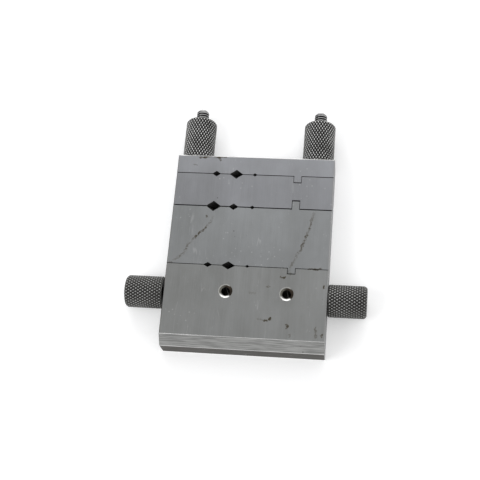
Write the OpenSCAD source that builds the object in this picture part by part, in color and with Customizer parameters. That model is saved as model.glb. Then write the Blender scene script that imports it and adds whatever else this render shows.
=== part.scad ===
// Miter cutting vise for wire and tube, in millimetres.
// Four ground steel bars stack along +Y and meet in three rows of V grooves.
// The grooves run through the bars at 45 degrees to the faces, so a cut made flush with a face is a miter.
// Two clamp studs with knurled nuts close the rows, and two thumbscrews lock a rod in the face holes.
// The origin is the centre of the base block's back face, and +Z points out of the front face.

/* [Bars] */
// Width of all four bars, along the rows of grooves
plate_w = 50.8; // [48:0.2:64]
// Thickness of all four bars
plate_t = 10.2; // [9.6:0.1:13]
// Height of the base block
base_h = 25.9; // [22:0.1:34]
// Height of the middle jaw
middle_h = 19.6; // [12:0.1:28]
// Height of the upper jaw
upper_h = 11.1; // [9:0.1:18]
// Height of the clamp bar
clamp_h = 6.4; // [4:0.1:10]
// Leg of the 45 degree bevel along the bottom front edge
end_bevel = 3.1; // [1:0.1:5]
// Chamfer along the top edges of the clamp bar
top_chamfer = 0.4; // [0.1:0.05:1]
// Broken edge along the sides of every bar
edge_break = 0.2; // [0.1:0.05:0.5]

/* [Rows at rest] */
// Gap between the base block and the middle jaw
low_gap = 0.1; // [0.05:0.05:0.6]
// Gap between the middle jaw and the upper jaw
mid_gap = 0.25; // [0.05:0.05:0.6]
// Gap between the upper jaw and the clamp bar
top_gap = 0.15; // [0.05:0.05:0.6]

/* [Grooves] */
// Angle between the grooves and the faces' normal
miter_angle = 45; // [30:1:50]
// Side of the square stock that fills the wide groove
wide_stock = 2.2; // [1.5:0.1:2.6]
// Side of the square stock that fills the medium groove
medium_stock = 1.4; // [0.9:0.05:1.5]
// Side of the square stock that fills the fine groove
fine_stock = 0.8; // [0.3:0.05:0.9]
// Height of the lowest row's grooves as a share of a square groove
low_row_share = 0.85; // [0.6:0.05:1]
// Size of the middle row's grooves as a share of the other rows'
mid_row_share = 1.13; // [1:0.01:1.2]
// Place of the first groove on the front face, from the middle
first_groove_x = -12.35; // [-12.8:0.05:-11.5]
// Place of the second groove on the front face, from the middle
second_groove_x = -5.9; // [-6.5:0.05:-5.5]
// Place of the third groove on the front face, from the middle
third_groove_x = 0.1; // [-1:0.05:0.5]

/* [Tongues] */
// Width of the tongues that keep the bars in line
tongue_w = 2.35; // [1.6:0.05:3]
// Place of the tongues, from the middle
tongue_x = 13.9; // [13.2:0.05:14.2]
// Height of the tongue under the middle jaw
low_tongue_h = 1.8; // [1:0.1:3]
// Height of the tongue on top of the middle jaw
mid_tongue_h = 2.8; // [1:0.1:3.5]
// Height of the tongue under the clamp bar
top_tongue_h = 2.2; // [1:0.1:3]
// Clearance on each side of a tongue
tongue_side_gap = 0.075; // [0.03:0.005:0.15]
// Clearance at the tip of a tongue when its row is shut
tongue_tip_gap = 0.05; // [0.02:0.01:0.3]

/* [Clamp studs and nuts] */
// Outside diameter of all threads, number 8 size
thread_d = 4.17; // [3.4:0.01:4.3]
// Distance from a clamp stud to the side of the bars
stud_inset = 5.6; // [5.3:0.1:7]
// Steel left between the end of a clamp stud and the bore of a side screw
stud_wall = 0.75; // [0.3:0.05:1.5]
// Stud that shows beyond its nut
stud_proud = 4.2; // [1:0.1:10]
// Taper and length of a thread's rounded tip
tip_round = 1.1; // [0.3:0.05:1.2]
// Length of a clamp nut
nut_len = 14.2; // [8:0.1:20]
// Diameter of the knurled nuts and knobs over the crests
knurl_d = 10.2; // [8:0.1:10.4]
// Play between a clamp nut and the bar under it
nut_seat_gap = 0.02; // [0.01:0.01:0.1]
// Radial clearance of the bars on the clamp studs
bar_fit = 0.09; // [0.05:0.01:0.1]
// Radial clearance between a nut or knob and its thread
nut_fit = 0.06; // [0.03:0.01:0.1]
// Chamfer that leads a thread into a nut or knob
lead_in = 0.4; // [0.1:0.05:0.6]

/* [Face holes] */
// Distance of the face holes and side screws below the top of the base block
hole_drop = 8.3; // [6.5:0.1:14]
// Place of the left face hole, from the middle
left_hole_x = -6; // [-9:0.1:-4]
// Place of the right face hole, from the middle
right_hole_x = 12.9; // [10:0.1:14]
// Diameter of the face holes
hole_d = 2.8; // [2.4:0.1:4]
// Diameter of their countersinks at the faces
countersink_d = 4.4; // [4.1:0.1:5.2]
// Included angle of the countersinks
countersink_angle = 118; // [82:1:125]

/* [Side screws] */
// Length of a side knob
knob_len = 12; // [8:0.1:16]
// Depth of the screw's bore in its knob
knob_bore_depth = 10; // [5:0.1:10.5]
// Gap between the left knob and the bar, backed out by most of a turn
left_knob_gap = 0.7; // [0.1:0.05:0.8]
// Gap between the right knob and the bar
right_knob_gap = 0.15; // [0.1:0.05:0.8]
// Gap between a screw's tip and its empty face hole
tip_gap = 0.05; // [0:0.01:0.1]
// How far a screw's bore breaks into its face hole, as a share of the hole's diameter
break_in = 0.3; // [0.25:0.05:0.5]
// Radial clearance of the side screws in the base block
screw_fit = 0.06; // [0.03:0.01:0.1]

/* [Knurl] */
// Diamonds around a knob
knurl_around = 32; // [20:1:36]
// Length of a diamond along the knob
knurl_pitch = 1.55; // [1.2:0.05:3]
// Depth of the grooves between diamonds
knurl_depth = 0.33; // [0.1:0.01:0.5]
// Rounding of a knob's outer end
knob_round = 1.2; // [0.5:0.1:2]
// Chamfer of a knob's inner end
knob_chamfer = 0.35; // [0.1:0.05:1]

/* [Hidden] */
$fn = 48;

STEEL = [0.60, 0.61, 0.61];
DARK_STEEL = [0.27, 0.27, 0.26];
BLACK_OXIDE = [0.2, 0.2, 0.19];

// Cuts run past the faces they open by this much
through = 1;

// Levels along the stack
base_bottom = -base_h / 2;
base_top = base_h / 2;
middle_bottom = base_top + low_gap;
middle_top = middle_bottom + middle_h;
upper_bottom = middle_top + mid_gap;
upper_top = upper_bottom + upper_h;
clamp_bottom = upper_top + top_gap;
clamp_top = clamp_bottom + clamp_h;
low_row_y = (base_top + middle_bottom) / 2;
mid_row_y = (middle_top + upper_bottom) / 2;
top_row_y = (upper_top + clamp_bottom) / 2;

// Every thread and hole axis lies half way through the bars
mid_z = plate_t / 2;
stud_x = plate_w / 2 - stud_inset;
hole_y = base_top - hole_drop;
stud_depth = hole_drop - thread_d / 2 - screw_fit - stud_wall;
knob_r = knurl_d / 2;

// Stock in the grooves from left to right, in each row
groove_x = [first_groove_x, second_groove_x, third_groove_x];
low_row = [medium_stock, wide_stock, fine_stock];
mid_row = [wide_stock, medium_stock, fine_stock] * mid_row_share;
top_row = [medium_stock, wide_stock, fine_stock];

// Outline of a bar seen along Y, with its four long edges broken
module bar_section(c) {
    w = plate_w / 2;
    t = plate_t;
    polygon([
        [-w + c, 0], [w - c, 0], [w, c], [w, t - c],
        [w - c, t], [-w + c, t], [-w, t - c], [-w, c]
    ]);
}

// A bar between two levels, with broken side edges
module bar(bottom, top) {
    translate([0, top, 0])
        rotate([90, 0, 0])
            linear_extrude(top - bottom)
                bar_section(edge_break);
}

// A prism across the full width whose section is drawn in Y and Z
module across(width) {
    translate([-width / 2, 0, 0])
        rotate([90, 0, 90])
            linear_extrude(width)
                children();
}

// A 45 degree cut along one edge that runs across the bars
module edge_cut(y, z, leg, y_side, z_side) {
    across(plate_w + 2 * through)
        polygon([
            [y + y_side * through, z + z_side * through],
            [y + y_side * through, z - z_side * (leg + through)],
            [y - y_side * (leg + through), z + z_side * through]
        ]);
}

// Diamond grooves of one row, canted so that they drift to the right on their way to the back face
module groove_row(y, stocks, share) {
    run = (plate_t + 2 * through) / cos(miter_angle);
    for (i = [0 : len(groove_x) - 1]) {
        half = stocks[i] / sqrt(2);
        translate([groove_x[i], y, plate_t])
            rotate([0, -miter_angle, 0])
                translate([0, 0, through / cos(miter_angle) - run])
                    linear_extrude(run)
                        polygon([[half, 0], [0, half * share], [-half, 0], [0, -half * share]]);
    }
}

// Tongue that stands on a bar's face at y and points up or down the stack
module tongue(y, height, direction) {
    root = 1;
    low = direction > 0 ? y - root : y - height;
    translate([tongue_x - tongue_w / 2, low, 0])
        cube([tongue_w, height + root, plate_t]);
}

// Slot for a tongue, cut into a bar's face at y
module tongue_slot(y, height, direction) {
    width = tongue_w + 2 * tongue_side_gap;
    depth = height + tongue_tip_gap;
    low = direction > 0 ? y - through : y - depth;
    translate([tongue_x - width / 2, low, -through])
        cube([width, depth + through, plate_t + 2 * through]);
}

// Clearance bores for both clamp studs between two levels
module stud_bores(bottom, top) {
    for (side = [-1, 1])
        translate([side * stud_x, bottom - through, mid_z])
            rotate([-90, 0, 0])
                cylinder(d = thread_d + 2 * bar_fit, h = top - bottom + 2 * through);
}

// Distance from the side of the base block to the near wall of a face hole
function wall_depth(side, hole_x) = plate_w / 2 - side * hole_x - hole_d / 2;

// Bore for a side screw, from the side of the base block into its face hole
module side_bore(side, hole_x) {
    translate([side * (plate_w / 2 + through), hole_y, mid_z])
        rotate([0, -side * 90, 0])
            cylinder(d = thread_d + 2 * screw_fit, h = through + wall_depth(side, hole_x) + break_in * hole_d);
}

// Straight hole through the faces, countersunk on both
module face_hole(x) {
    slope = tan(countersink_angle / 2);
    sink = (countersink_d - hole_d) / 2 / slope;
    wide_r = countersink_d / 2 + through * slope;
    translate([x, hole_y, 0]) {
        translate([0, 0, -through])
            cylinder(d = hole_d, h = plate_t + 2 * through);
        rotate_extrude()
            polygon([[0, -through], [wide_r, -through], [hole_d / 2, sink], [0, sink]]);
        translate([0, 0, plate_t])
            rotate_extrude()
                polygon([[0, through], [wide_r, through], [hole_d / 2, -sink], [0, -sink]]);
    }
}

module base_block() {
    color(STEEL)
        difference() {
            bar(base_bottom, base_top);
            edge_cut(base_bottom, plate_t, end_bevel, -1, 1);
            edge_cut(base_bottom, 0, edge_break, -1, -1);
            groove_row(low_row_y, low_row, low_row_share);
            tongue_slot(base_top, low_tongue_h, -1);
            for (side = [-1, 1])
                translate([side * stud_x, base_top - stud_depth, mid_z])
                    rotate([-90, 0, 0])
                        cylinder(d = thread_d, h = stud_depth + through);
            side_bore(-1, left_hole_x);
            side_bore(1, right_hole_x);
            face_hole(left_hole_x);
            face_hole(right_hole_x);
        }
}

module middle_jaw() {
    color(STEEL)
        difference() {
            union() {
                bar(middle_bottom, middle_top);
                tongue(middle_bottom, low_tongue_h, -1);
                tongue(middle_top, mid_tongue_h, 1);
            }
            groove_row(low_row_y, low_row, low_row_share);
            groove_row(mid_row_y, mid_row, 1);
            stud_bores(middle_bottom, middle_top);
        }
}

module upper_jaw() {
    color(STEEL)
        difference() {
            bar(upper_bottom, upper_top);
            groove_row(mid_row_y, mid_row, 1);
            groove_row(top_row_y, top_row, 1);
            tongue_slot(upper_bottom, mid_tongue_h, 1);
            tongue_slot(upper_top, top_tongue_h, -1);
            stud_bores(upper_bottom, upper_top);
        }
}

module clamp_bar() {
    color(STEEL)
        difference() {
            union() {
                bar(clamp_bottom, clamp_top);
                tongue(clamp_bottom, top_tongue_h, -1);
            }
            edge_cut(clamp_top, plate_t, top_chamfer, 1, 1);
            edge_cut(clamp_top, 0, top_chamfer, 1, -1);
            groove_row(top_row_y, top_row, 1);
            stud_bores(clamp_bottom, clamp_top);
        }
}

// Plain rod of thread size along +Z, with one end or both drawn in to a rounded tip
module threaded_rod(length, round_start) {
    r = thread_d / 2;
    draw_in = tip_round * 0.6;
    steps = 6;
    tip = [for (i = [0 : steps])
        let (a = 90 * i / steps)
        [r - draw_in * (1 - cos(a)), length - tip_round * (1 - sin(a))]];
    foot = round_start ? [[r - draw_in, 0], [r, draw_in]] : [[r, 0]];
    rotate_extrude()
        polygon(concat([[0, 0]], foot, tip, [[0, length]]));
}

module clamp_stud(side) {
    length = stud_depth + clamp_top - base_top + nut_seat_gap + nut_len + stud_proud;
    color(BLACK_OXIDE)
        translate([side * stud_x, base_top - stud_depth, mid_z])
            rotate([-90, 0, 0])
                threaded_rod(length, false);
}

// Point of a knob's outline at the distance u along it, as [radius, height, share of the knurl's depth]
function outline_at(u, length) =
    let (
        slope = knob_chamfer * sqrt(2),
        straight = length - knob_chamfer - knob_round,
        v = u - slope - straight,
        a = v / knob_round * 180 / PI
    )
    u < slope ? [knob_r - (slope - u) / sqrt(2), u / sqrt(2), u / slope]
    : v < 0 ? [knob_r, knob_chamfer + u - slope, 1]
    : [knob_r - knob_round * (1 - cos(a)), length - knob_round * (1 - sin(a)), cos(a)];

// Barrel along +Z with a diamond knurl that runs over its rounded end.
// Crests and grooves alternate around each ring and from ring to ring,
// and each square between four points folds along the line that joins its two grooves.
module knurled_barrel(length) {
    columns = 2 * knurl_around;
    outline_len = length - knob_chamfer - knob_round + knob_chamfer * sqrt(2) + knob_round * PI / 2;
    rings = round(outline_len / (knurl_pitch / 2));
    points = [
        for (j = [0 : rings])
            let (p = outline_at(outline_len * j / rings, length))
            for (i = [0 : columns - 1])
                let (r = p[0] - ((i + j) % 2) * knurl_depth * p[2], a = 360 * i / columns)
                [r * cos(a), r * sin(a), p[1]]
    ];
    sides = [
        for (j = [0 : rings - 1])
            for (i = [0 : columns - 1])
                let (
                    k = (i + 1) % columns,
                    a = j * columns + i,
                    b = j * columns + k,
                    c = (j + 1) * columns + k,
                    d = (j + 1) * columns + i
                )
                each ((i + j) % 2 == 1 ? [[a, c, b], [a, d, c]] : [[a, d, b], [b, d, c]])
    ];
    foot = [for (i = [0 : columns - 1]) i];
    top = [for (i = [columns - 1 : -1 : 0]) rings * columns + i];
    polyhedron(points, concat(sides, [foot], [top]));
}

// Bore for a thread, from the face at 0 up to a depth along +Z, with its mouth chamfered
module thread_bore(depth) {
    r = thread_d / 2 + nut_fit;
    translate([0, 0, -through])
        cylinder(r = r, h = depth + through);
    rotate_extrude()
        polygon([[0, -through], [r + lead_in + through, -through], [r, lead_in], [0, lead_in]]);
}

module clamp_nut(side) {
    color(DARK_STEEL)
        translate([side * stud_x, clamp_top + nut_seat_gap, mid_z])
            rotate([-90, 0, 0])
                difference() {
                    knurled_barrel(nut_len);
                    thread_bore(nut_len / 2);
                    translate([0, 0, nut_len])
                        mirror([0, 0, 1])
                            thread_bore(nut_len / 2 + through);
                }
}

// Places a part built along +Z on a side screw's axis, pointing out of the base block
module on_side_axis(side, gap) {
    translate([side * (plate_w / 2 + gap), hole_y, mid_z])
        rotate([0, side * 90, 0])
            children();
}

module side_screw(side, hole_x, gap) {
    inside = gap + wall_depth(side, hole_x) - tip_gap;
    color(BLACK_OXIDE)
        on_side_axis(side, gap)
            mirror([0, 0, 1])
                translate([0, 0, -knob_bore_depth])
                    threaded_rod(knob_bore_depth + inside, true);
}

module side_knob(side, gap) {
    color(DARK_STEEL)
        on_side_axis(side, gap)
            difference() {
                knurled_barrel(knob_len);
                thread_bore(knob_bore_depth);
            }
}

base_block();
middle_jaw();
upper_jaw();
clamp_bar();
clamp_stud(-1);  // left_clamp_stud
clamp_stud(1);  // right_clamp_stud
clamp_nut(-1);  // left_clamp_nut
clamp_nut(1);  // right_clamp_nut
side_screw(-1, left_hole_x, left_knob_gap);  // left_side_screw
side_screw(1, right_hole_x, right_knob_gap);  // right_side_screw
side_knob(-1, left_knob_gap);  // left_side_knob
side_knob(1, right_knob_gap);  // right_side_knob
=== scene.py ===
from math import pi, radians, sqrt

import bmesh
import bpy
import numpy as np
from mathutils import Euler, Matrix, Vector


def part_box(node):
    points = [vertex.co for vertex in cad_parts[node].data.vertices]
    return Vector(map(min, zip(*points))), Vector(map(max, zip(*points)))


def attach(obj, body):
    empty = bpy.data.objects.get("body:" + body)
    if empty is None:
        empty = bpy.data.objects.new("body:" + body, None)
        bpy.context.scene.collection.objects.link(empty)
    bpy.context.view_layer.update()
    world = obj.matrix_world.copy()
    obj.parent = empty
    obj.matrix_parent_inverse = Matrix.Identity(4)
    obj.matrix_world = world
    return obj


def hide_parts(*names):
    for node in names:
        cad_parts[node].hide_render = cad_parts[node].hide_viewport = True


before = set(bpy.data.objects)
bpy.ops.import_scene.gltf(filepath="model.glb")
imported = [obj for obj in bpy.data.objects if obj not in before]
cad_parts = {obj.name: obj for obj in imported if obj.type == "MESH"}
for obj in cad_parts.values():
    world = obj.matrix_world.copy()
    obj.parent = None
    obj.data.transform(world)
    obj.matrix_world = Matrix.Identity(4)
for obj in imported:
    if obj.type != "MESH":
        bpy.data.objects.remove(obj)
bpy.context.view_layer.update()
MM = 0.001

# The four bars: base block, middle jaw, upper jaw and clamp bar.
# Tool steel, ground flat on every outer face, with milled grooves, tongues and slots painted near-black
# inside as shade, with oil.
# All sharp edges are broken with a stone, which leaves a thin bright line along them.
stone_radius = 0.10 * MM
seam_ease = 0.06 * MM
chamfer_reach = 0.6 * MM
touching = 0.01 * MM
weld_distance = 0.0005 * MM
flat_limit = radians(0.5)
sharp_limit = radians(30)
plate_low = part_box("base_block")[0]
plate_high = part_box("clamp_bar")[1]
plate_thick = plate_high.z - plate_low.z
face_hole_y = sum(corner.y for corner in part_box("left_side_screw")) / 2


class Shade:
    """A socket of a material's node tree. Sums, products and powers of it add Math nodes."""

    def __init__(self, tree, socket=None):
        self.tree = tree
        self.socket = socket

    def node(self, kind, settings, sockets, output=0):
        """Adds a node of a type, sets its settings first and then its sockets, and gives one output."""
        made = self.tree.nodes.new("ShaderNode" + kind)
        for name, value in settings.items():
            setattr(made, name, value)
        for name, value in sockets.items():
            if isinstance(value, Shade):
                self.tree.links.new(value.socket, made.inputs[name])
            else:
                made.inputs[name].default_value = value
        return Shade(self.tree, made.outputs[output])

    def math(self, operation, first, second=0.0):
        return self.node("Math", {"operation": operation}, {0: first, 1: second})

    def __add__(self, other):
        return self.math("ADD", self, other)

    def __radd__(self, other):
        return self.math("ADD", other, self)

    def __sub__(self, other):
        return self.math("SUBTRACT", self, other)

    def __rsub__(self, other):
        return self.math("SUBTRACT", other, self)

    def __mul__(self, other):
        return self.math("MULTIPLY", self, other)

    def __rmul__(self, other):
        return self.math("MULTIPLY", other, self)

    def __truediv__(self, other):
        return self.math("DIVIDE", self, other)

    def __rtruediv__(self, other):
        return self.math("DIVIDE", other, self)

    def __pow__(self, other):
        return self.math("POWER", self, other)

    def __abs__(self):
        return self.math("ABSOLUTE", self)

    def least(self, other):
        return self.math("MINIMUM", self, other)

    def most(self, other):
        return self.math("MAXIMUM", self, other)

    def rise(self, start, end):
        """0 below start and 1 above end, with a smooth step between, or the other way where end is lower."""
        ends = {"From Min": min(start, end), "From Max": max(start, end)}
        ends.update({"To Min": float(start > end), "To Max": float(start <= end)})
        return self.node("MapRange", {"interpolation_type": "SMOOTHSTEP"}, {"Value": self, **ends})

    def blend(self, low, high):
        """The colour low where this value is 0 and high where it is 1."""
        low, high = [colour if isinstance(colour, Shade) else (*colour, 1) for colour in (low, high)]
        return self.node("Mix", {"data_type": "RGBA"}, {"Factor": self, 6: low, 7: high}, 2)

    def grain(self, scale, place, stretch=(1, 1, 1), turn=(0, 0, 0), detail=2.0):
        """Noise from 0 to 1 of so many cells a metre, drawn out along an axis where its stretch is small."""
        mapped = self.node("Mapping", {}, {"Vector": place, "Scale": stretch, "Rotation": turn})
        return self.node("TexNoise", {}, {"Vector": mapped, "Scale": scale, "Detail": detail})


def new_material(name):
    """A material with its shader and a Shade to add nodes with."""
    made = bpy.data.materials.new(name)
    made.use_nodes = True
    return made, made.node_tree.nodes["Principled BSDF"], Shade(made.node_tree)


def wire(made, shader, colour, roughness, normal=None, metallic=1.0):
    """Joins the varying colour, roughness, metallic and normal to the material's shader."""
    sockets = {"Base Color": colour, "Roughness": roughness, "Normal": normal, "Metallic": metallic}
    for name, value in sockets.items():
        if isinstance(value, Shade):
            made.node_tree.links.new(value.socket, shader.inputs[name])
        elif value is not None:
            shader.inputs[name].default_value = value


def near_line(along, across, points, half):
    """The strength of a line through points (x, y, strength), in millimetres of the front face.
    It falls to 0 at the half width. The distance to each stretch is the length of p - a - t(b - a),
    with t kept between 0 and 1."""
    strongest = None
    for (ax, ay, start), (bx, by, end) in zip(points, points[1:]):
        dx, dy = (bx - ax) * MM, (by - ay) * MM
        px, py = along - ax * MM, across - ay * MM
        t = ((px * dx + py * dy) / (dx * dx + dy * dy)).least(1.0).most(0.0)
        distance = ((px - t * dx) ** 2.0 + (py - t * dy) ** 2.0) ** 0.5
        strength = distance.rise(half, half * 0.4) * (start + t * (end - start))
        strongest = strength if strongest is None else strongest.most(strength)
    return strongest


# Marks of use on the front face, as points (x, y, strength) in millimetres: two streaks and small spots
streak_half = 0.52 * MM
spot_half = 0.46 * MM
stain_drift = 1.5 * MM
left_streak = [(-12.2, 29.4, 0.25), (-12.8, 27.2, 0.5), (-14.3, 25.1, 0.9), (-15.5, 23.9, 1.3),
               (-16.6, 22.6, 1.1), (-17.9, 21.0, 0.45), (-19.3, 19.4, 0.8), (-19.7, 17.8, 1.0),
               (-20.5, 16.3, 0.7), (-21.8, 15.1, 0.9), (-23.2, 13.9, 0.5)]
right_streak = [(19.7, 31.6, 0.3), (19.2, 29.3, 0.6), (18.7, 26.4, 0.9), (18.1, 24.3, 0.9),
                (17.4, 22.5, 1.4), (16.7, 20.6, 1.2), (16.4, 19.0, 1.1), (15.6, 18.1, 0.7),
                (14.7, 15.8, 0.4), (14.0, 14.3, 0.7), (13.3, 12.6, 0.3), (12.8, 11.3, 0.7),
                (14.4, 11.2, 0.5)]
spots = [((-18.2, 49.5, 0.9), (-17.2, 49.7, 1.7), (-15.8, 49.8, 1.7), (-14.7, 50.1, 0.4)),
         ((-13.6, 50.1, 0.5), (-12.2, 49.9, 1.4), (-10.0, 50.1, 0.9)),
         ((-12.2, 49.8, 0.9), (-11.4, 49.0, 0.9)),
         ((-20.0, 46.9, 0.5), (-19.0, 46.8, 0.5)),
         ((-14.2, 29.1, 0.9), (-14.1, 29.0, 0.9)),
         ((4.6, -3.6, 0.4), (6.3, -3.9, 0.6), (7.0, -4.1, 1.5), (7.6, -4.1, 1.3)),
         ((8.3, -3.6, 1.5), (8.5, -3.4, 1.5)),
         ((10.8, 9.9, 1.0), (12.2, 9.8, 1.1)),
         ((13.4, -5.0, 1.3), (14.1, -5.9, 1.5), (13.5, -6.2, 0.8)),
         ((14.7, -8.1, 0.5), (14.7, -8.9, 0.4)),
         ((24.2, 7.7, 1.0), (24.2, 7.2, 1.0)),
         ((22.2, -5.5, 0.7), (22.6, -7.5, 0.6), (22.5, -8.5, 0.6)),
         ((24.4, -7.6, 1.0), (24.3, -8.2, 0.8)),
         ((-24.8, 13.2, 0.8), (-23.9, 13.1, 0.6)),
         ((6.6, 6.6, 0.6), (7.4, 6.9, 0.7)),
         ((1.6, 4.4, 0.3), (3.2, 4.4, 0.35)),
         ((19.2, 13.1, 0.9), (21.4, 13.05, 1.3), (23.0, 13.0, 0.8))]


def grinding(net, place, on_end):
    """The fine lines that the wheel leaves along a bar, and across it on its ends."""
    lengthwise = net.grain(5200, place, (1, 0.012, 1), detail=3.0)
    crosswise = net.grain(5200, place, (0.02, 1, 1), detail=3.0)
    return lengthwise + on_end * (crosswise - lengthwise)


def scratches(net, place):
    """Two families of thin scratches, each where drawn-out noise passes one value, inside patches."""
    steep = abs(net.grain(150, place, (1, 0.09, 1), (0, 0, radians(24))) - 0.5).rise(0.0035, 0.0008)
    level = abs(net.grain(130, place, (1, 0.08, 1), (0, 0, radians(-58))) - 0.47).rise(0.0035, 0.0008)
    steep = steep * net.grain(260, place).rise(0.56, 0.66)
    return steep.most(level * net.grain(210, place).rise(0.58, 0.66))


def specks(net, place, cells, reach, patch, detail, share):
    """Round specks at the points of a pattern of cells, in the patches where a coarse noise is high."""
    near_point = net.node("TexVoronoi", {}, {"Vector": place, "Scale": cells}, "Distance").rise(*reach)
    return near_point * net.grain(patch, place, detail=detail).rise(*share)


def stains_of_use(net, place, x, y):
    """The streaks and spots. One noise moves them to and fro, one breaks them and one makes them swell."""
    drift = net.node("TexNoise", {}, {"Vector": place, "Scale": 1100.0, "Detail": 4.0}, "Color")
    moved_x = x + (net.node("SeparateXYZ", {}, {"Vector": drift}, "X") - 0.5) * stain_drift
    moved_y = y + (net.node("SeparateXYZ", {}, {"Vector": drift}, "Y") - 0.5) * stain_drift
    broken = net.grain(1500, place, detail=3.0).rise(0.38, 0.56)
    swells = net.grain(260, place, detail=2.0).rise(0.40, 0.56)
    left = near_line(moved_x, moved_y, left_streak, streak_half)
    right = near_line(moved_x, moved_y, right_streak, streak_half)
    stains = left.most(right) * (0.26 + 0.74 * broken) * (0.70 + 0.30 * swells)
    for points in spots:
        stains = stains.most(near_line(moved_x, moved_y, points, spot_half) * (0.55 + 0.45 * broken))
    return stains.least(1.0)


def oil_and_shade_in_joints(facing_y, y, z):
    """Oil and painted shade on the faces between the bars, close to the front face. The far ends of the stack
    stay clean.
    """
    inside = y.rise(plate_low.y + 1.0 * MM, plate_low.y + 1.5 * MM)
    inside = inside * (1.0 - y.rise(plate_high.y - 1.5 * MM, plate_high.y - 1.0 * MM))
    return facing_y.rise(0.9, 0.99) * inside * z.rise(plate_thick - 1.1 * MM, plate_thick - 0.5 * MM)


def scaled(colour, share, tint=(1, 1, 1)):
    """A share of a colour, tinted in red, green and blue."""
    return tuple(share * part * hue for part, hue in zip(colour, tint))


# Dark tones of the end face: painted shade
painted_shade_end_tones = [(0.070, 0.066, 0.060), (0.155, 0.148, 0.138)]
bare_scratch = (0.55, 0.55, 0.55)
bright_fleck = (0.62, 0.62, 0.62)
dark_pit = (0.08, 0.075, 0.065)
brown_stain = (0.064, 0.053, 0.034)
# Near-black for oil and painted shade in the joints between the bars
black_oil_and_shade = (0.012, 0.010, 0.008)


def ground_steel(name, tone_of_bar):
    """Ground steel of a bar: grinding lines, clouds, pits, fine scratches and stains on the tone given for
    the bar, with painted shade that darkens it a little to the left. The bevel and the end face are sawn
    crosswise, and the end face is painted dark as shade."""
    made, shader, net = new_material(name)
    place = net.node("TexCoord", {}, {}, "Object")
    x, y, z = [net.node("SeparateXYZ", {}, {"Vector": place}, axis) for axis in "XYZ"]
    turned_y = net.node("SeparateXYZ", {}, {"Vector": net.node("TexCoord", {}, {}, "Normal")}, "Y")
    facing_y = abs(turned_y)
    front = z.rise(plate_thick - 0.4 * MM, plate_thick - 0.2 * MM)
    lines = grinding(net, place, facing_y.rise(0.3, 0.6))
    clouds = net.grain(95, place, (1, 0.55, 1), detail=4.0)
    patches = net.grain(520, place, (1, 0.6, 1), detail=3.0)
    tracks = net.grain(210, place, (1, 0.05, 1), detail=2.0)
    scratch = scratches(net, place)
    pits = specks(net, place, 420.0, (0.14, 0.05), 75, 1.0, (0.64, 0.72))
    flecks = specks(net, place, 700.0, (0.20, 0.08), 90, 2.0, (0.50, 0.66)) * front
    stains = stains_of_use(net, place, x, y) * front
    oiled_and_shaded = oil_and_shade_in_joints(facing_y, y, z)
    # Painted shade: the first term darkens the tone towards the left end of the bars
    tone = x.rise(-4 * MM, -25 * MM) * -0.10 + (clouds - 0.5) * 0.40 + (patches - 0.5) * 0.24
    tone = tone + (lines - 0.5) * 0.34 + (tracks - 0.5) * 0.20
    light = (0.5 + tone).least(1.0).most(0.0)
    dim, bright = scaled(tone_of_bar, 0.78, (1, 1, 0.96)), scaled(tone_of_bar, 1.22, (0.99, 1, 1.03))
    colour = light.blend(dim, bright)
    sawn = net.grain(2200, place, (0.07, 1, 1), detail=4.0)
    end_face = turned_y.rise(-0.85, -0.95)
    bevel_face = turned_y.rise(-0.5, -0.6) * (1.0 - end_face)
    bevel_tone = sawn.rise(0.34, 0.66).blend(scaled(tone_of_bar, 0.74), scaled(tone_of_bar, 1.18))
    colour = bevel_face.blend(colour, bevel_tone)
    # Painted shade: the end face gets tones far darker than the ground faces
    colour = end_face.blend(colour, sawn.blend(*painted_shade_end_tones))
    coats = [(scratch * 0.35, bare_scratch), (flecks * 0.5, bright_fleck), (pits * 0.6, dark_pit),
             (stains * 0.92, brown_stain), (oiled_and_shaded * 0.94, black_oil_and_shade)]
    for strength, tint in coats:
        colour = strength.blend(colour, tint)
    roughness = 0.36 + (clouds - 0.5) * 0.16 + (lines - 0.5) * 0.14 + stains * 0.3 + pits * 0.2
    height = lines + scratch * -1.4 + pits * -3.0 + patches * 0.8
    normal = net.node("Bump", {}, {"Strength": 0.35, "Distance": 0.004 * MM, "Height": height})
    wire(made, shader, colour, roughness, normal)
    shader.inputs["Specular Tint"].default_value = (0.6, 0.6, 0.6, 1)
    return made


# Only the countersinks' walls lie this near the height of the face holes and the middle of the plate
sink_reach = 2.8 * MM
sink_span = 20 * MM


def countersink_painted_light(wear, turned_x, z, lower_wall):
    """A countersink's colour: painted shade on its upper wall, mottled and darkest where the wall faces left,
    a painted highlight on the outer half of its lower wall, and a brighter rim where the wall faces left.
    """
    mottled_shade = wear.blend((0.09, 0.088, 0.075), (0.21, 0.205, 0.18))
    shaded_upper = turned_x.rise(-0.05, 0.35).blend((0.040, 0.032, 0.025), mottled_shade)
    outer_half = z.rise(plate_thick - 0.38 * MM, plate_thick - 0.24 * MM)
    lit_lower = outer_half.blend((0.20, 0.198, 0.19), (0.66, 0.66, 0.65))
    rim = z.rise(plate_thick - 0.20 * MM, plate_thick - 0.10 * MM) * turned_x.rise(-0.42, -0.15)
    return (rim * 0.8).blend(lower_wall.blend(shaded_upper, lit_lower), (0.50, 0.50, 0.48))


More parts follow.
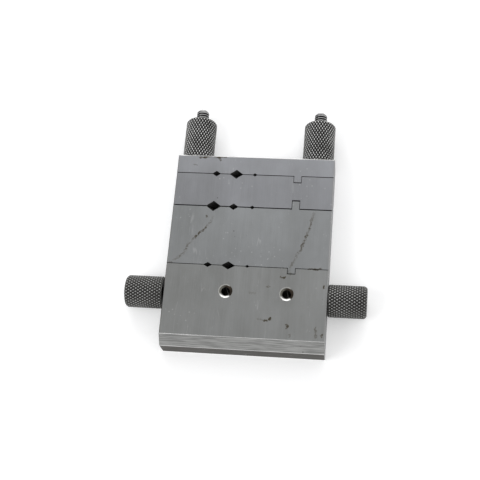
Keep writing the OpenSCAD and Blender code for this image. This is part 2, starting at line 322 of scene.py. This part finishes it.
def broken_edge():
    """The bright line that the stone leaves along an edge, with painted shade on the left and right edges.
    The countersinks at the height of the face holes get a painted highlight and painted shade of their own."""
    made, shader, net = new_material("stoned_edge_steel_and_painted_light")
    place = net.node("TexCoord", {}, {}, "Object")
    normal = net.node("TexCoord", {}, {}, "Normal")
    x, y, z = [net.node("SeparateXYZ", {}, {"Vector": place}, axis) for axis in "XYZ"]
    turned_x, turned_y = [net.node("SeparateXYZ", {}, {"Vector": normal}, axis) for axis in "XY"]
    wear = net.grain(700, place, detail=3.0)
    colour = wear.blend((0.56, 0.56, 0.55), (0.86, 0.86, 0.85))
    # Painted shade: edges facing left are darkened almost to black, edges facing right to grey
    colour = (turned_x.rise(-0.25, -0.45) * 0.9).blend(colour, (0.055, 0.045, 0.036))
    colour = (turned_x.rise(0.25, 0.45) * 0.85).blend(colour, (0.22, 0.22, 0.22))
    in_sink = abs(y - face_hole_y).rise(sink_reach + 0.2 * MM, sink_reach)
    in_sink = in_sink * abs(x).rise(sink_span + 1.0 * MM, sink_span)
    lower_wall = (turned_y + turned_x * 0.18).rise(0.26, 0.38)
    # Painted highlight and painted shade in the countersinks
    colour = in_sink.blend(colour, countersink_painted_light(wear, turned_x, z, lower_wall))
    roughness = 0.26 + wear * 0.12 + in_sink * (1.0 - lower_wall) * 0.24
    wire(made, shader, colour, roughness)
    return made


def shaded_groove_wall():
    """The inside of the grooves, holes and slots: milled and unground, with oil and filings, painted
    near-black as the shade in these recesses.
    """
    made, shader, net = new_material("milled_wall_steel_painted_shade")
    place = net.node("TexCoord", {}, {}, "Object")
    soot_and_shade = net.grain(900, place, (1, 1, 0.3), detail=3.0)
    # Near-black colour: painted shade in the grooves, holes and slots, mottled a little
    colour = soot_and_shade.blend((0.020, 0.020, 0.020), (0.085, 0.083, 0.080))
    wire(made, shader, colour, 0.50 + soot_and_shade * 0.2)
    shader.inputs["Specular Tint"].default_value = (0.4, 0.4, 0.4, 1)
    return made


def beside(point, axes):
    """The distance of a point from the nearest outer plane of the plate that is square to one of the axes."""
    return min(min(abs(point[axis] - plate_low[axis]), abs(plate_high[axis] - point[axis])) for axis in axes)


def on_front_seam(edge):
    """Whether an edge of the front face runs along the joint to the next bar or along a tongue."""
    if any(v.co.z < plate_high.z - touching for v in edge.verts):
        return False
    for face in edge.link_faces:
        upright = max(abs(face.normal.x), abs(face.normal.y)) > 0.999
        if upright and beside(face.calc_center_median(), (0, 1)) >= touching:
            return True
    return False


def sort_faces(mesh, node):
    """Gives each face its material: 0 where it is ground, which is square to an axis, on an outer plane or
    the block's bevel, 1 on a chamfer or countersink at an outer plane, and 2 in the grooves and holes."""
    for face in mesh.faces:
        outer = beside(face.calc_center_median(), (0, 2))
        square = max(abs(part) for part in face.normal) > 0.999
        bevelled = node == "base_block" and face.normal.y < -0.6 and face.normal.z > 0.6
        ground = outer < touching or bevelled or square
        face.material_index = 0 if ground else 1 if outer < chamfer_reach else 2
        face.smooth = True


def weigh_edges(mesh):
    """The share of the stone's radius that each edge gets: all of it along the lowest edges, less on the
    sides and the stack's two ends, and none where the edge is flat or bounds a groove or a hole."""
    weights = mesh.edges.layers.float.new("bevel_weight_edge")
    for edge in mesh.edges:
        ends = [v.co for v in edge.verts]
        on_side = all(beside(end, (0,)) < touching for end in ends)
        on_stack_end = all(end.y < plate_low.y + 4 * MM or end.y > plate_high.y - 1 * MM for end in ends)
        lowest = all(end.y < plate_low.y + touching for end in ends)
        flat = edge.calc_face_angle(0.0) < sharp_limit
        milled = any(face.material_index == 2 for face in edge.link_faces)
        edge[weights] = 0.0 if flat or milled else 1.0 if lowest else 0.6 if on_side or on_stack_end else 0.0


def eased_bar(node, tone_of_bar, body):
    """A copy of a bar's own mesh with its doubles merged. The seams to its neighbours are eased by a flat
    bevel that carries the near-black wall colour as painted shade, and its other outer edges by a round one."""
    mesh = bmesh.new()
    mesh.from_mesh(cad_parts[node].data)
    bmesh.ops.remove_doubles(mesh, verts=mesh.verts, dist=weld_distance)
    bmesh.ops.dissolve_limit(mesh, angle_limit=flat_limit, verts=mesh.verts, edges=mesh.edges)
    sort_faces(mesh, node)
    seams = [edge for edge in mesh.edges if on_front_seam(edge)]
    # Painted shade: the flat bevel along the seams takes the near-black wall material, index 2
    settings = {"segments": 1, "affect": "EDGES", "clamp_overlap": True, "material": 2}
    bmesh.ops.bevel(mesh, geom=seams, offset=seam_ease, **settings)
    weigh_edges(mesh)
    data = bpy.data.meshes.new(node + "_ground")
    mesh.to_mesh(data)
    mesh.free()
    for layer in [layer for layer in data.attributes if layer.name == "custom_normal"]:
        data.attributes.remove(layer)
    data.set_sharp_from_angle(angle=sharp_limit)
    for material in (ground_steel(node + "_steel", tone_of_bar), edge_steel, wall_material_painted_shade):
        data.materials.append(material)
    piece = bpy.data.objects.new(node + "_ground", data)
    bpy.context.scene.collection.objects.link(piece)
    ease = piece.modifiers.new("stone", "BEVEL")
    ease.width = stone_radius
    ease.segments = 2
    ease.limit_method = "WEIGHT"
    ease.use_clamp_overlap = False
    ease.material = 1
    ease.harden_normals = True
    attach(piece, body)
    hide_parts(node)
    return piece


edge_steel = broken_edge()
wall_material_painted_shade = shaded_groove_wall()
# Painted shading in the bars' tones: on the whole they grow lighter and cooler from the base block up to the
# clamp bar
eased_bar("base_block", (0.311, 0.313, 0.306), "base")
eased_bar("middle_jaw", (0.322, 0.328, 0.330), "middle_jaw")
eased_bar("upper_jaw", (0.316, 0.318, 0.331), "upper_jaw")
eased_bar("clamp_bar", (0.345, 0.348, 0.363), "clamp_bar")

# The two clamp studs, set in the base block.
# Black oxide steel rod, with a rolled thread of 32 turns to the inch where a nut or the block grips it.
# The thread's crests are rubbed bright, and its tip is rounded.
inch = 25.4 * MM
thread_pitch = inch / 32
thread_depth = 0.44 * MM
rod_play = 0.01 * MM
tip_round = 1.1 * MM
tip_draw = 0.6 * tip_round
plain_tip = 0.7 * MM
below_clamp_top = 0.5 * MM
lower_tongue_height = 1.8 * MM
rings_per_pitch = 10
plain_rings = 40
points_around_rod = 48


def smooth(t):
    """The smooth step of t, which is kept between 0 and 1."""
    t = np.clip(t, 0, 1)
    return t * t * (3 - 2 * t)


def join_rings(name, rings, shades, turn, centre, start_shut, end_shut, material):
    """A closed mesh from rings of points, given as arrays of radius, angle and height about the local Z.
    The rows of turn are the frame's directions of the local axes. An end is shut by one point on the axis,
    or, where neither end is shut, the last ring joins the first. The attribute relief keeps the shades."""
    radius, angle, height = rings
    rows, columns = radius.shape
    local = np.stack([radius * np.cos(angle), radius * np.sin(angle), height], axis=-1).reshape(-1, 3)
    value = shades.reshape(-1)
    column, row = np.meshgrid(np.arange(columns), np.arange(rows - 1 + (not start_shut and not end_shut)))
    beyond, above = (column + 1) % columns, (row + 1) % rows
    corners = [(row, column), (row, beyond), (above, beyond), (above, column)]
    quads = np.stack([r * columns + c for r, c in corners], axis=-1)
    faces = quads.reshape(-1, 4).tolist()
    around = np.arange(columns)
    for shut, ring, flip in ((start_shut, 0, True), (end_shut, rows - 1, False)):
        if shut:
            pole = len(local)
            local = np.vstack([local, [0, 0, height[ring].mean()]])
            value = np.append(value, value[ring * columns])
            here, there = ring * columns + around, ring * columns + (around + 1) % columns
            here, there = (there, here) if flip else (here, there)
            faces += np.stack([here, there, np.full(columns, pole)], axis=-1).tolist()
    world = local @ np.array(turn, float) + np.array(centre, float)
    data = bpy.data.meshes.new(name)
    data.from_pydata(world.tolist(), [], faces)
    data.shade_smooth()
    layer = data.attributes.new("relief", "FLOAT", "POINT")
    layer.data.foreach_set("value", value.astype(np.float32))
    data.materials.append(material)
    piece = bpy.data.objects.new(name, data)
    bpy.context.scene.collection.objects.link(piece)
    return piece


def thread_steel():
    """Black oxide, dull in the roots of the thread and rubbed bright on its crests."""
    made, shader, net = new_material("black_thread_steel")
    place = net.node("TexCoord", {}, {}, "Object")
    relief = net.node("Attribute", {"attribute_name": "relief"}, {}, "Fac")
    wear = net.grain(1100, place, detail=3.0)
    rubbed = (relief + (wear - 0.5) * 0.5).rise(0.66, 1.0)
    colour = rubbed.blend(wear.blend((0.010, 0.010, 0.010), (0.035, 0.034, 0.032)), (0.34, 0.34, 0.34))
    wire(made, shader, colour, 0.46 - rubbed * 0.16 + (wear - 0.5) * 0.1)
    return made


def threaded_rod(name, radius, length, cut, turn, centre, rounded_start, shine):
    """A rod along local +Z. Its radius is r(z) less the thread's depth times a rounded V, worked out from
    v = |2 frac(z / pitch - angle / 2 pi) - 1|, between the levels of each pair in cut. Its tip is drawn in
    along a quarter of an ellipse, and so is its start where rounded_start is set."""
    levels = [np.linspace(0, length, plain_rings)]
    levels += [np.arange(a, b, thread_pitch / rings_per_pitch) for a, b in cut]
    z = np.unique(np.round(np.concatenate(levels), 7))
    angle = np.arange(points_around_rod) / points_around_rod * 2 * pi
    height, turned = np.meshgrid(z, angle, indexing="ij")
    v = np.abs(2 * ((height / thread_pitch - turned / (2 * pi)) % 1) - 1)
    share = sum(smooth((height - a) / thread_pitch) * smooth((b - height) / thread_pitch) for a, b in cut)
    drop = np.clip(1 - (length - height) / tip_round, 0, 1)
    drop = np.maximum(drop, np.clip(1 - height / tip_round, 0, 1)) if rounded_start else drop
    crest = smooth((v - 0.10) / 0.70)
    body = radius - rod_play - tip_draw * (1 - np.sqrt(1 - drop * drop))
    sunk = thread_depth * share * (1 - crest) * (1 - drop)
    relief = shine * (1 - share * (1 - crest) * (1 - 0.5 * drop))
    rings = (body - sunk, turned, height)
    return join_rings(name, rings, relief, turn, centre, True, True, rod_steel)


rod_steel = thread_steel()
up_the_stack = [(1, 0, 0), (0, 0, -1), (0, 1, 0)]
clamp_top = plate_high.y
block_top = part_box("middle_jaw")[0].y + lower_tongue_height
for side in ("left", "right"):
    low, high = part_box(side + "_clamp_stud")
    foot = Vector(((low.x + high.x) / 2, low.y, (low.z + high.z) / 2))
    radius, length = (high.x - low.x) / 2, high.y - low.y
    grips = [(0, block_top - low.y), (clamp_top - below_clamp_top - low.y, length - plain_tip)]
    stud = threaded_rod(side + "_stud", radius, length, grips, up_the_stack, foot, False, 1.0)
    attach(stud, "base")
    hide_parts(side + "_clamp_stud")

# The two clamp nuts, long barrels that are turned without a tool.
# Turned from steel bar, rolled with a diamond knurl that runs over the rounded end, then darkened in oil.
# Use has rubbed the diamonds' tops bright and left the valleys between them black.
diamonds_around = 32
diamond_length = 1.55 * MM
knurl_depth = 0.33 * MM
steps_per_half = 6
end_round = 1.2 * MM
end_chamfer = 0.35 * MM
mouth_chamfer = 0.4 * MM
face_edge = 0.05 * MM
flank_share = 0.37
bore_play = 0.06 * MM
screw_radius = (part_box("left_clamp_stud")[1].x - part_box("left_clamp_stud")[0].x) / 2


def knurl_steel(name, valley, top):
    """Darkened steel: dark valleys, grey flanks, rubbed tops, and a fine grain all over."""
    made, shader, net = new_material(name)
    place = net.node("TexCoord", {}, {}, "Object")
    relief = net.node("Attribute", {"attribute_name": "relief"}, {}, "Fac")
    patch = net.grain(160, place, detail=3.0)
    fine = net.grain(2600, place, detail=3.0)
    rubbed = (relief + (patch - 0.5) * 0.45 + (fine - 0.5) * 0.25).rise(0.72, 1.0)
    flank = (relief + (fine - 0.5) * 0.2).rise(0.05, 0.75)
    colour = flank.blend((valley, 0.95 * valley, 0.88 * valley), (0.11, 0.11, 0.105))
    colour = rubbed.blend(colour, (top, top, 0.99 * top))
    roughness = 0.48 - rubbed * 0.20 + (fine - 0.5) * 0.12
    normal = net.node("Bump", {}, {"Strength": 0.25, "Distance": 0.006 * MM, "Height": fine})
    wire(made, shader, colour, roughness, normal)
    return made


def knurled_piece(name, radius, length, bore_radius, bore_depth, turn, centre, material):
    """A knurled barrel along local +Z with a bore from its inner end, blind or right through.
    Its outline, measured by u, is a chamfer, a straight and a quarter circle of radius r and height h.
    On the barrel a = (x + y) / 2 and b = (x - y) / 2, where x and y count half diamonds round and along it.
    Grooves run where a or b is half way between whole numbers, and the lower of the two V shapes is cut."""
    sloped = end_chamfer * sqrt(2)
    straight = length - end_chamfer - end_round
    outline = sloped + straight + end_round * pi / 2
    half_rings = round(outline / (diamond_length / 2))
    u = np.linspace(0, outline, half_rings * steps_per_half + 1)
    turned = np.clip((u - sloped - straight) / end_round, 0, pi / 2)
    r = np.where(u < sloped, radius - (sloped - u) / sqrt(2), radius - end_round * (1 - np.cos(turned)))
    h = np.where(u < sloped, u / sqrt(2), np.minimum(end_chamfer + u - sloped, length - end_round))
    h = np.where(turned > 0, length - end_round * (1 - np.sin(turned)), h)
    share = np.where(u < sloped, u / sloped, np.cos(turned))
    columns = 2 * diamonds_around * steps_per_half
    angle = np.arange(columns) / columns * 2 * pi
    x = np.arange(columns)[None, :] / steps_per_half
    y = np.arange(len(u))[:, None] / steps_per_half
    a, b = (x + y) / 2, (x - y) / 2
    groove_a, groove_b = np.abs((a % 1) - 0.5), np.abs((b % 1) - 0.5)
    rise = smooth(np.minimum(groove_a, groove_b) / flank_share)
    barrel_r = r[:, None] - knurl_depth * share[:, None] * (1 - rise)
    barrel_relief = 1 - (1 - rise) * np.clip(share[:, None] * 1.6, 0, 1)
    mouth = bore_radius + mouth_chamfer
    inner = [(bore_radius, bore_depth), (bore_radius, mouth_chamfer), (mouth, 0.0), (r[0] - face_edge, 0.0)]
    if bore_depth < length:
        outer = [(r[-1] - face_edge, length), (r[-1] * 0.6, length), (r[-1] * 0.25, length)]
    else:
        inner = inner[1:]
        outer = [(r[-1] - face_edge, length), (mouth, length), (bore_radius, length - mouth_chamfer)]

    def plain(points, relief):
        """Rings without a knurl through points (radius, height), with one relief value."""
        ring_r, ring_h = np.array(points).T
        ones = np.ones((len(points), columns))
        return ring_r[:, None] * ones, ring_h[:, None] * ones, relief * ones

    inner_part, outer_part = plain(inner, 0.55), plain(outer, 0.72)
    radii = np.vstack([inner_part[0], barrel_r, outer_part[0]])
    heights = np.vstack([inner_part[1], h[:, None] * np.ones_like(barrel_r), outer_part[1]])
    relief = np.vstack([inner_part[2], barrel_relief, outer_part[2]])
    shut = bore_depth < length
    rings = (radii, angle[None, :] * np.ones_like(radii), heights)
    return join_rings(name, rings, relief, turn, centre, shut, shut, material)


nut_steel = knurl_steel("darkened_nut_steel", 0.014, 0.58)
for side in ("left", "right"):
    low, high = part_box(side + "_clamp_nut")
    seat = Vector(((low.x + high.x) / 2, low.y, (low.z + high.z) / 2))
    bore = screw_radius + bore_play
    radius, length = (high.x - low.x) / 2, high.y - low.y
    nut = knurled_piece(side + "_nut", radius, length, bore, length, up_the_stack, seat, nut_steel)
    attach(nut, side + "_clamp_nut")
    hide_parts(side + "_clamp_nut")

# The two side screws with their knobs.
# The same thread as the clamp studs, in a knob that is knurled like the nuts but closed at its outer end.
# The left one is backed out by most of a turn, so a thread shows between knob and block.
bore_floor_gap = 0.1 * MM
# Painted shade: the knobs take a darker, flatter copy of the nuts' knurl colours, with dull tops
knob_material_painted_shade = knurl_steel("darkened_knob_steel_painted_shade", 0.040, 0.33)
to_the_side = {"left": [(0, 0, 1), (0, 1, 0), (-1, 0, 0)], "right": [(0, 0, -1), (0, 1, 0), (1, 0, 0)]}
for side, sign in (("left", -1), ("right", 1)):
    low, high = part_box(side + "_side_knob")
    seat = Vector((high.x if sign < 0 else low.x, (low.y + high.y) / 2, (low.z + high.z) / 2))
    screw_low, screw_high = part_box(side + "_side_screw")
    root = Vector((screw_low.x if sign < 0 else screw_high.x, seat.y, seat.z))
    bore, bore_depth = screw_radius + bore_play, abs(root.x - seat.x) + bore_floor_gap
    outward, inward = to_the_side[side], to_the_side["right" if side == "left" else "left"]
    radius, length = (high.z - low.z) / 2, high.x - low.x
    knob = knurled_piece(side + "_knob", radius, length, bore, bore_depth, outward, seat, knob_material_painted_shade)
    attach(knob, side + "_side_knob")
    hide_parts(side + "_side_knob")
    length = screw_high.x - screw_low.x
    screw = threaded_rod(side + "_screw", screw_radius, length, [(0, length)], inward, root, True, 0.6)
    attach(screw, side + "_side_screw")
    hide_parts(side + "_side_screw")

# The table under the jig, a wide pale sheet that keeps the jig's shadow.
# It isn't part of the object.
sheet_half = 0.9
sheet = bpy.data.meshes.new("table")
sheet_top = plate_low.z - 0.02 * MM
corners = [(x * sheet_half, y * sheet_half, sheet_top) for x, y in ((-1, -1), (1, -1), (1, 1), (-1, 1))]
sheet.from_pydata(corners, [], [(0, 1, 2, 3)])
table = bpy.data.objects.new("table", sheet)
bpy.context.scene.collection.objects.link(table)
paper, paper_shader, net = new_material("white_paper")
paper_shader.inputs["Base Color"].default_value = (0.82, 0.82, 0.82, 1)
paper_shader.inputs["Roughness"].default_value = 0.9
ray_kinds = ("Is Camera Ray", "Is Glossy Ray", "Is Transmission Ray")
straight, mirrored, refracted = [net.node("LightPath", {}, {}, kind) for kind in ray_kinds]
seen = straight.most(mirrored).most(refracted)
net.tree.links.new((seen * 0.30).socket, paper_shader.inputs["Emission Strength"])
paper_shader.inputs["Emission Color"].default_value = (1, 1, 1, 1)
sheet.materials.append(paper)

# The room's light: a pale room, brightest near the horizon and darker overhead on the left, and two lamps.
# The larger lamp stands beyond the nuts, and a weaker one stands at the left.
room = bpy.data.worlds.new("pale_room")
bpy.context.scene.world = room
room.use_nodes = True
air = Shade(room.node_tree)
direction = air.node("TexCoord", {}, {}, "Generated")
ray_x, ray_z = [air.node("SeparateXYZ", {}, {"Vector": direction}, axis) for axis in "XZ"]
sky = (ray_z - ray_x * 1.2).rise(0.15, 1.35).blend((0.98, 0.98, 0.98), (0.505, 0.51, 0.52))
backing = room.node_tree.nodes["Background"]
room.node_tree.links.new(sky.socket, backing.inputs["Color"])
backing.inputs["Strength"].default_value = 1.0


def soft_lamp(name, place, width, power):
    """A square lamp at place, in metres, that faces the middle of the jig."""
    data = bpy.data.lights.new(name, "AREA")
    data.size = width
    data.energy = power
    lamp = bpy.data.objects.new(name, data)
    lamp.location = place
    middle = (plate_low + plate_high) / 2
    lamp.rotation_euler = (Vector(place) - middle).to_track_quat("Z", "Y").to_euler()
    bpy.context.scene.collection.objects.link(lamp)


soft_lamp("window_lamp", (-0.05, 0.44, 0.18), 0.44, 1.1)
soft_lamp("side_lamp", (-0.30, -0.14, 0.36), 0.25, 0.7)

# The camera at the photograph's place and angle, about 31 cm from the plate.
# It stands below the plate's middle and to the right, and all that it sees is sharp.
lens = bpy.data.cameras.new("camera")
lens.lens = 75
lens.sensor_width = 36
lens.clip_start = 0.01
camera = bpy.data.objects.new("camera", lens)
camera.location = (36.246 * MM, -85.886 * MM, 302.594 * MM)
camera.rotation_euler = Euler((radians(20.585), radians(5.8465), radians(4.8239)))
bpy.context.scene.collection.objects.link(camera)
bpy.context.scene.camera = camera
bpy.context.scene.view_settings.view_transform = "Standard"
